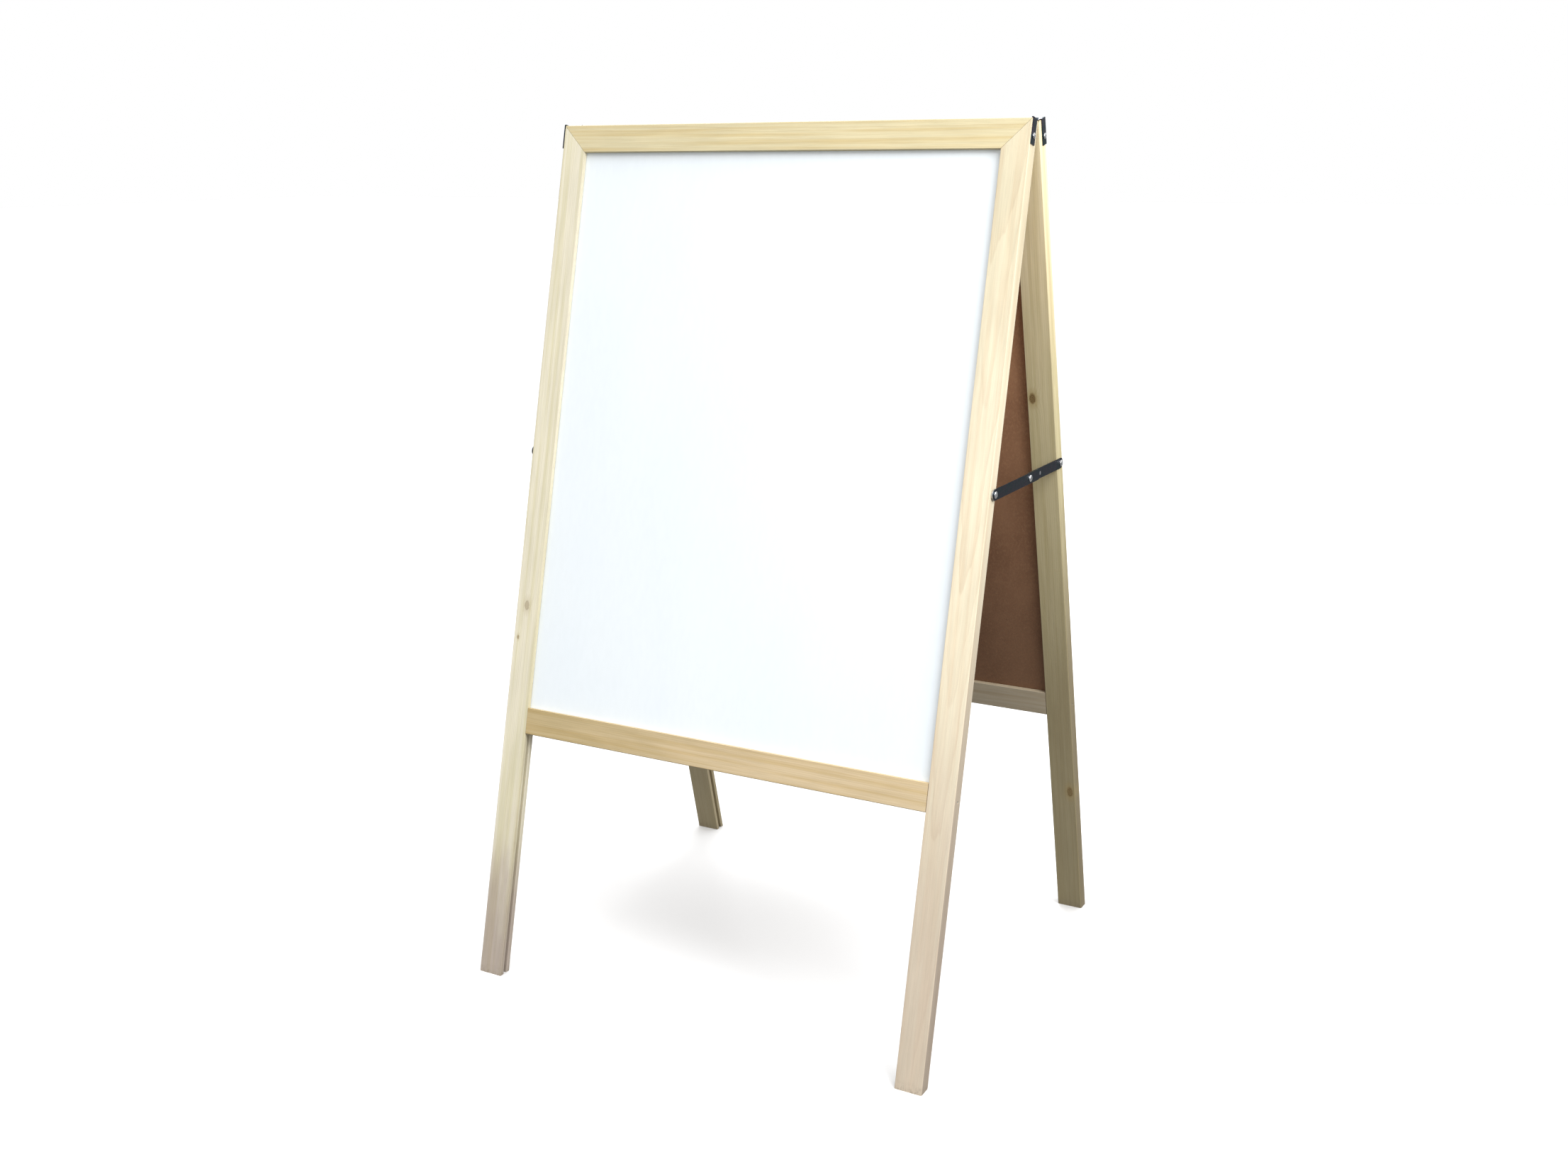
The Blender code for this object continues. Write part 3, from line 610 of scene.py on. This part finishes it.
def smoothing_group():
    """Welds a mesh and marks its edges sharp by their angle."""
    group = bpy.data.node_groups.new("weld_and_sharpen", "GeometryNodeTree")
    group.interface.new_socket("Geometry", in_out="INPUT", socket_type="NodeSocketGeometry")
    group.interface.new_socket("Geometry", in_out="OUTPUT", socket_type="NodeSocketGeometry")
    make, join = group.nodes.new, group.links.new
    start, end = make("NodeGroupInput"), make("NodeGroupOutput")
    weld = make("GeometryNodeMergeByDistance")
    weld.inputs["Distance"].default_value = WELD_DISTANCE
    angle = make("GeometryNodeInputMeshEdgeAngle")
    sharp = make("FunctionNodeCompare")
    sharp.operation = "GREATER_THAN"
    sharp.inputs["B"].default_value = SHARP_ANGLE
    normals = make("GeometryNodeSetMeshNormal")
    normals.mode = "SHARPNESS"
    normals.inputs["Remove Custom"].default_value = True
    normals.inputs["Face Sharpness"].default_value = False
    join(start.outputs[0], weld.inputs[0])
    join(weld.outputs[0], normals.inputs["Mesh"])
    join(angle.outputs["Unsigned Angle"], sharp.inputs["A"])
    join(sharp.outputs[0], normals.inputs["Edge Sharpness"])
    join(normals.outputs[0], end.inputs[0])
    return group


SMOOTHING = smoothing_group()


def weigh_normals(piece):
    normals = piece.modifiers.new("weighted_normals", "WEIGHTED_NORMAL")
    normals.keep_sharp = True
    normals.weight = LARGE_FACE_WEIGHT


def finish_node(name, material):
    """Gives a CAD node its material and smooth shading."""
    node = frame["nodes"][name]
    node.material_slots[0].material = material
    node.modifiers.new("smoothing", "NODES").node_group = SMOOTHING
    weigh_normals(node)


# Making pieces ------------------------------------------------------------------


def smooth(mesh):
    mesh.shade_smooth()
    mesh.set_sharp_from_angle(angle=SHARP_ANGLE)


def piece_from(name, shape, materials):
    mesh = bpy.data.meshes.new(name)
    shape.to_mesh(mesh)
    shape.free()
    piece = bpy.data.objects.new(name, mesh)
    bpy.context.scene.collection.objects.link(piece)
    for material in materials:
        mesh.materials.append(material)
    smooth(mesh)
    return piece


def turned(name, profile, placing, materials, steps=48):
    """A profile of (radius, height) points from one end on the axis to the other, turned about Z."""
    shape = bmesh.new()
    rows = []
    for radius, height in profile:
        if radius == 0:
            rows.append([shape.verts.new((0, 0, height))])
        else:
            angles = [2 * pi * k / steps for k in range(steps)]
            rows.append([shape.verts.new((radius * cos(a), radius * sin(a), height)) for a in angles])
    for upper, lower in zip(rows, rows[1:]):
        for k in range(steps):
            ring = (upper[k % len(upper)], lower[k % len(lower)])
            following = (lower[(k + 1) % len(lower)], upper[(k + 1) % len(upper)])
            shape.faces.new(list(dict.fromkeys(ring + following)))
    bmesh.ops.recalc_face_normals(shape, faces=shape.faces)
    shape.transform(placing)
    return piece_from(name, shape, materials)


def rod_profile(radius, length, chamfer):
    """Down a rod with chamfered ends, from its outer end."""
    profile = [(0, 0), (radius - chamfer, 0), (radius, -chamfer)]
    return profile + [(radius, chamfer - length), (radius - chamfer, -length), (0, -length)]


def arc(centre, radius, start, end, steps):
    """Points round a centre, from one angle to another."""
    turns = [start + (end - start) * k / steps for k in range(steps + 1)]
    return [(centre[0] + radius * cos(a), centre[1] + radius * sin(a)) for a in turns]


def steps_to(end, count):
    """Equal steps up to `end`, without zero itself."""
    return [end * (k + 1) / count for k in range(count)]


def extruded(name, outline, thickness, placing, materials, bevel):
    """A closed outline made `thickness` thick about its own XY plane, with rounded edges between its flat
    faces and its rim. The rim takes the last material."""
    shape = bmesh.new()
    face = shape.faces.new([shape.verts.new((x, y, -thickness / 2)) for x, y in outline])
    grown = bmesh.ops.extrude_face_region(shape, geom=[face])["geom"]
    moved = [part for part in grown if isinstance(part, bmesh.types.BMVert)]
    bmesh.ops.translate(shape, verts=moved, vec=(0, 0, thickness))
    bmesh.ops.recalc_face_normals(shape, faces=shape.faces)
    for facet in shape.faces:
        facet.material_index = (len(materials) - 1) if len(facet.verts) == 4 else 0
    level = [edge for edge in shape.edges if abs(edge.verts[0].co.z - edge.verts[1].co.z) < thickness / 2]
    bmesh.ops.bevel(shape, geom=level, offset=bevel, segments=2, affect="EDGES", profile=0.6)
    shape.transform(placing)
    return piece_from(name, shape, materials)


def apply_boolean(piece, other, operation):
    """Joins the other piece to this one, or cuts it out of it, and removes it. Materials carry over."""
    change = piece.modifiers.new("boolean", "BOOLEAN")
    change.object, change.operation, change.solver = other, operation, "MANIFOLD"
    change.material_mode = "TRANSFER"
    graph = bpy.context.evaluated_depsgraph_get()
    mesh = bpy.data.meshes.new_from_object(piece.evaluated_get(graph))
    piece.modifiers.remove(change)
    piece.data = mesh
    smooth(mesh)
    bpy.data.objects.remove(other)


def stand_for(piece, node):
    """The piece takes a CAD node's place, on its body."""
    weigh_normals(piece)
    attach(piece, frame["nodes"][node]["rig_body"])
    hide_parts(node)


def towards_x(side, place):
    """Turns a shape's own Z axis to point away from the middle, at that place."""
    turn = Vector((0, 0, 1)).rotation_difference(Vector((side, 0, 0))).to_matrix().to_4x4()
    return Matrix.Translation(place) @ turn


# Screws, rivets and pins --------------------------------------------------------

# A screw's sizes as parts of its head's radius.
HEAD_HEIGHT_PART = 0.475
SHANK_PART = 0.465
CROWN_BALL_PART = 1.75

# The rounding above a screw head's rim and the chamfer under it, as parts of the head's height.
RIM_PART = 0.30
CHAMFER_PART = 0.1

TIP_LENGTH = 3.0  # shank radii
RECESS_TURN = pi / 7

# A rivet head's sizes as parts of its radius, and its dome's as a part of its height.
RIVET_HEIGHT_PART = 0.375
RIVET_FLAT_PART = 0.30
RIVET_DOME_PART = 0.92


def outer_end(node, side):
    """A node that lies along X: the middle of its outer end, its radius and its length."""
    low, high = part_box(node)
    middle = (low + high) / 2
    middle.x = high.x if side > 0 else low.x
    return middle, (high.z - low.z) / 2, high.x - low.x


def screw(word, side, which):
    """A pan-head wood screw with a tapered crossed recess."""
    node = f"{word}_{which}_screw"
    top, radius, length = outer_end(node, side)
    head = HEAD_HEIGHT_PART * radius
    corner = RIM_PART * head
    ball = CROWN_BALL_PART * radius
    rise = asin((radius - corner) / ball)
    crown = [(0, 0)] + [(ball * sin(a), -ball * (1 - cos(a))) for a in steps_to(rise, 8)]
    fall = crown[-1][1]
    rim = arc((radius - corner, fall - corner), corner, pi / 2 - rise, 0, 5)
    chamfer = CHAMFER_PART * head
    shank = SHANK_PART * radius
    under = [(radius, chamfer - head), (radius - chamfer, -head), (shank, -head)]
    tip = [(shank, TIP_LENGTH * shank - length), (0, -length)]
    placing = towards_x(side, top)
    made = turned(f"{node}_steel", crown + rim + under + tip, placing, [BRIGHT_STEEL])
    for turn in (0, pi / 2):
        cutter = recess_cutter(radius, head, placing @ Matrix.Rotation(turn + RECESS_TURN, 4, "Z"))
        apply_boolean(made, cutter, "DIFFERENCE")
    stand_for(made, node)


def recess_cutter(radius, head, placing):
    """One bar of the crossed recess, narrower and shorter at its floor than at its mouth. Each of these
    holds the bar's length, its width and the height of that end."""
    mouth = Vector((1.16 * radius, 0.24 * radius, 0.3 * head))
    floor = Vector((0.62 * radius, 0.13 * radius, -0.72 * head))
    shape = bmesh.new()
    bmesh.ops.create_cube(shape, size=1.0)
    for vertex in shape.verts:
        end = floor if vertex.co.z < 0 else mouth
        vertex.co = (vertex.co.x * end.x, vertex.co.y * end.y, end.z)
    shape.transform(placing)
    return piece_from("recess_cutter", shape, [])


def rivet_head(word, side):
    """The formed head of a stay's centre rivet, with a flat struck in its crown."""
    node = f"{word}_stay_rivet_head"
    top, radius, length = outer_end(node, side)
    height = RIVET_HEIGHT_PART * radius
    flat = RIVET_FLAT_PART * radius
    dome = RIVET_DOME_PART * height
    crown = [(0, 0), (flat, 0)]
    crown += [(flat + (radius - flat) * sin(a), -dome * (1 - cos(a))) for a in steps_to(pi / 2, 8)]
    skirt = [(radius, -height), (radius / 2, -height), (radius / 2, -length), (0, -length)]
    made = turned(f"{node}_steel", crown + skirt, towards_x(side, top), [BRIGHT_STEEL])
    stand_for(made, node)


def hinge_pin(word, side):
    """A pin with its ends chamfered."""
    node = f"{word}_hinge_pin"
    top, radius, length = outer_end(node, side)
    profile = rod_profile(radius, length, radius / 4)
    made = turned(f"{node}_steel", profile, towards_x(side, top), [BRIGHT_STEEL], 32)
    stand_for(made, node)


# Stay links ---------------------------------------------------------------------

LINK_LOW, LINK_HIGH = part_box("right_stay_front_link")
LINK_THICKNESS = LINK_HIGH.x - LINK_LOW.x
LINK_BEVEL = 0.14 * MM
TIP_RADIUS = 4 * MM
HOLE_PART = 0.36
DIMPLE_REACH = 36 * MM
DIMPLE_HEIGHT = 0.35 * MM
DIMPLE_RADIUS = 2.2 * MM


def link_outline(half, reach, far):
    """A round end on the pivot and, at or past the rivet, another round end or a blunt tip."""
    outline = arc((0, 0), half, pi / 2, 3 * pi / 2, 24)
    if far > reach + half + MM:
        rise = half - TIP_RADIUS
        outline += arc((far - TIP_RADIUS, -rise), TIP_RADIUS, -pi / 2, 0, 8)
        outline += arc((far - TIP_RADIUS, rise), TIP_RADIUS, 0, pi / 2, 8)
    else:
        outline += arc((reach, 0), half, -pi / 2, pi / 2, 24)
    return outline


def stay_link(word, side, end):
    """A strap link with a hole at its pivot and one at the rivet, lying level as the easel stands open."""
    node = f"{word}_stay_{end}_link"
    low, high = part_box(node)
    pivot = Vector(JOINTS[f"{word}_{end}_stay"]["pos_m"])
    towards = 1 if pivot.y < 0 else -1
    half = (high.z - low.z) / 2
    reach = abs(pivot.y)
    far = (high.y if towards > 0 else -low.y) + reach
    inner_x = min(abs(low.x), abs(high.x))
    along, up = Vector((0, towards, 0)), Vector((0, 0, 1))
    placing = Matrix((along, up, along.cross(up))).transposed().to_4x4()
    placing.translation = (side * (inner_x + LINK_THICKNESS / 2), pivot.y, pivot.z)
    outline = link_outline(half, reach, far)
    made = extruded(f"{node}_strap", outline, LINK_THICKNESS, placing, [DARK_STEEL, CUT_STEEL], LINK_BEVEL)
    for place in (0, reach):
        hole = hole_cutter(HOLE_PART * half, placing @ Matrix.Translation((place, 0, 0)))
        apply_boolean(made, hole, "DIFFERENCE")
    if end == "rear":
        place = (side * (inner_x + LINK_THICKNESS), DIMPLE_REACH, pivot.z)
        apply_boolean(made, dimple(towards_x(side, place)), "UNION")
    stand_for(made, node)


def hole_cutter(radius, placing):
    top, bottom = LINK_THICKNESS, -LINK_THICKNESS
    profile = [(0, top), (radius, top), (radius, bottom), (0, bottom)]
    return turned("hole_cutter", profile, placing, [], 32)


def dimple(placing):
    """The small pressed bump beyond the rivet, rubbed bright, with a soft foot."""
    profile = [(0, DIMPLE_HEIGHT)]
    for turn in steps_to(pi, 8):
        profile.append((DIMPLE_RADIUS * turn / pi, DIMPLE_HEIGHT / 2 * (1 + cos(turn))))
    profile += [(DIMPLE_RADIUS, -LINK_THICKNESS / 2), (0, -LINK_THICKNESS / 2)]
    return turned("dimple", profile, placing, [BRIGHT_STEEL], 32)


# Top hinges ---------------------------------------------------------------------

LEAF_THICKNESS = 0.9 * MM
LEAF_DEPTH = 10.85 * MM
LEAF_GAP = 0.3 * MM
LEAF_BEVEL = 0.12 * MM
TAB_WIDTH = 10.5 * MM
TAB_NOTCH = 1.0 * MM
BEND_RADIUS = 0.8 * MM
KNUCKLES = 3
OWN_KNUCKLES = {"front": (0, 2), "rear": (1,)}
KNUCKLE_CHAMFER = 0.15 * MM
BORE_PART = 0.5
CUTTER_SPARE = 5 * MM


def barrel(name, radius, side, start, end):
    """A cylinder about the hinge line, between two distances from the middle of the easel."""
    profile = rod_profile(radius, end - start, min(KNUCKLE_CHAMFER, radius / 4))
    placing = towards_x(side, Vector((side * end, PIN.y, PIN.z)))
    return turned(name, profile, placing, [DARK_STEEL], 40)


def leaf_outlines(inner, outer, bottom, knuckle_radius):
    """A leaf's plate and its tab, which overlap a little, as (across, up) points from the hinge line."""
    lower, upper = -knuckle_radius, LEAF_THICKNESS - knuckle_radius
    notch = HALF_WIDTH - TAB_NOTCH
    plate = [(inner, lower), (notch, lower), (notch, upper), (inner, upper)]
    tab_inner = outer - LEAF_THICKNESS
    tab = [(notch - LEAF_GAP, lower), (tab_inner, lower), (tab_inner, bottom), (outer, bottom)]
    tab += arc((outer - BEND_RADIUS, upper - BEND_RADIUS), BEND_RADIUS, 0, pi / 2, 8)
    tab += [(notch - LEAF_GAP, upper)]
    return plate, tab


def leaf_strip(name, outline, side, facing, start, stop):
    """An (across, up) outline made solid between two depths of its frame."""
    stood_up = Matrix(((1, 0, 0), (0, 0, -1), (0, 1, 0))).to_4x4()
    placing = hanging(facing) @ Matrix.Translation((0, facing * (start + stop) / 2, 0)) @ stood_up
    sided = [(side * across, up) for across, up in outline]
    return extruded(name, sided, stop - start, placing, [DARK_STEEL], LEAF_BEVEL)


def hinge_leaf(word, side, end):
    """A hinge leaf: a plate on the frame's top end, a tab bent down its side edge, and rolled knuckles."""
    node = f"{word}_hinge_{end}_leaf"
    facing = FACINGS[end]
    low, high = own_box(node, facing)
    outer, inner = max(abs(low.x), abs(high.x)), min(abs(low.x), abs(high.x))
    depth = max(abs(low.y), abs(high.y))
    knuckle_radius = high.z
    plate, tab = leaf_outlines(inner, outer, low.z, knuckle_radius)
    made = leaf_strip(f"{node}_plate", plate, side, facing, 0, LEAF_DEPTH)
    apply_boolean(made, leaf_strip("tab", tab, side, facing, depth - TAB_WIDTH, depth), "UNION")
    pitch = (HALF_WIDTH - inner - LEAF_GAP) / KNUCKLES
    for k in range(KNUCKLES):
        start = inner + k * pitch
        stop = start + pitch - LEAF_GAP
        if k in OWN_KNUCKLES[end]:
            apply_boolean(made, barrel("knuckle", knuckle_radius, side, start, stop), "UNION")
        else:
            room_radius = knuckle_radius + LEAF_GAP
            room = barrel("room", room_radius, side, start - LEAF_GAP, stop + LEAF_GAP)
            apply_boolean(made, room, "DIFFERENCE")
    bore_radius = BORE_PART * knuckle_radius
    bore = barrel("bore", bore_radius, side, inner - CUTTER_SPARE, HALF_WIDTH + CUTTER_SPARE)
    apply_boolean(made, bore, "DIFFERENCE")
    stand_for(made, node)


# The easel's pieces -------------------------------------------------------------


def dress_frames():
    for end, facing in FACINGS.items():
        members = {f"{end}_stile_{word}": stile(facing, side) for word, side in SIDES.items()}
        members[f"{end}_top_rail"] = top_rail(facing)
        members[f"{end}_lower_rail"] = lower_rail(facing)
        for name, member in members.items():
            finish_node(name, wood_material(name, member, WOODS[name]))


def dress_boards():
    hardboard = hardboard_material()
    finish_node("front_board_core", hardboard)
    finish_node("rear_board_core", hardboard)
    finish_node("front_whiteboard_face", whiteboard_material())
    finish_node("rear_chalkboard_face", chalkboard_material())


def dress_small_steel():
    for name in frame["nodes"]:
        if name.endswith(("_spacer", "_rivet_tail")) or "_brad_" in name:
            finish_node(name, BRIGHT_STEEL)


def make_hardware():
    for word, side in SIDES.items():
        for end in FACINGS:
            hinge_leaf(word, side, end)
            stay_link(word, side, end)
            screw(word, side, f"hinge_{end}")
            screw(word, side, f"stay_{end}")
        hinge_pin(word, side)
        rivet_head(word, side)


# Studio -------------------------------------------------------------------------

FLOOR_SIZE = 30.0
CAMERA_PLACE = (0.9654, -1.7576, 1.0064)
CAMERA_YAW = radians(29.07)
CAMERA_PITCH = radians(14.78)
CAMERA_ROLL = radians(0.48)
CAMERA_LENS = 37.96
SENSOR_WIDTH = 36.0


def add_floor(seen, bounced):
    """A pale floor that throws less light back up at the easel than the camera sees of it."""
    surface = Surface("studio_floor")
    in_view = surface.add("ShaderNodeLightPath", {}, "Is Camera Ray")
    surface.set("Base Color", surface.grey(surface.fade(in_view, 0.0, 1.0, bounced, seen)))
    surface.set("Roughness", 0.9)
    surface.set("Specular IOR Level", 0.0)
    shape = bmesh.new()
    bmesh.ops.create_grid(shape, x_segments=1, y_segments=1, size=FLOOR_SIZE)
    piece_from("studio_floor", shape, [surface.material])


def add_light(name, kind, place, aim, energy, **settings):
    lamp = bpy.data.lights.new(name, kind)
    lamp.energy = energy
    for key, value in settings.items():
        setattr(lamp, key, value)
    made = bpy.data.objects.new(name, lamp)
    bpy.context.scene.collection.objects.link(made)
    made.location = place
    made.rotation_mode = "QUATERNION"
    made.rotation_quaternion = (Vector(aim) - Vector(place)).to_track_quat("-Z", "Y")


def add_world(overhead, horizon, backdrop):
    """Soft light all round, stronger from above, in front of a plain white backdrop."""
    world = bpy.data.worlds.new("studio_white")
    world.use_nodes = True
    shading = Shading(world.node_tree)
    background = world.node_tree.nodes["Background"]
    shading.give(background.inputs["Color"], (1.0, 1.0, 1.0, 1.0))
    height = shading.split(shading.coordinates("Generated"))[2]
    light = shading.fade(height, 0.0, 1.0, horizon, overhead)
    seen = shading.add("ShaderNodeLightPath", {}, "Is Camera Ray")
    to_backdrop = shading.math("SUBTRACT", backdrop, light)
    shading.give(background.inputs["Strength"], shading.math("MULTIPLY_ADD", seen, to_backdrop, light))
    bpy.context.scene.world = world


def add_camera():
    """The camera stands to the front right, a little lower than the easel's top."""
    lens = bpy.data.cameras.new("camera")
    lens.lens = CAMERA_LENS
    lens.sensor_width = SENSOR_WIDTH
    camera = bpy.data.objects.new("camera", lens)
    bpy.context.scene.collection.objects.link(camera)
    yaw = Matrix.Rotation(CAMERA_YAW, 4, "Z")
    pitch = Matrix.Rotation(pi / 2 - CAMERA_PITCH, 4, "X")
    roll = Matrix.Rotation(-CAMERA_ROLL, 4, "Z")
    camera.matrix_world = Matrix.Translation(CAMERA_PLACE) @ yaw @ pitch @ roll
    bpy.context.scene.camera = camera


def build_studio():
    add_floor(seen=0.72, bounced=0.15)
    add_world(overhead=1.45, horizon=0.55, backdrop=1.0)
    add_light("key_box", "AREA", (1.75, -1.0, 2.3), aim=(0.0, 0.0, 0.8), energy=37.0, size=1.0)
    add_light("front_box", "AREA", (0.9, -2.3, 1.2), aim=(0.0, 0.0, 0.7), energy=6.5, size=0.8)
    add_light("side_box", "AREA", (1.5, -0.4, 1.25), aim=(0.3, 0.1, 0.8), energy=10.0, size=0.5)
    add_light("back_box", "AREA", (-1.3, 2.4, 1.9), aim=(0.0, 0.0, 0.5), energy=40.0, size=1.5)
    add_light("overhead", "SUN", (0.0, -0.1, 3.0), aim=(0.0, 0.0, 0.0), energy=1.4, angle=radians(50))
    add_camera()
    bpy.context.scene.view_settings.view_transform = "Standard"


dress_frames()
dress_boards()
dress_small_steel()
make_hardware()
build_studio()
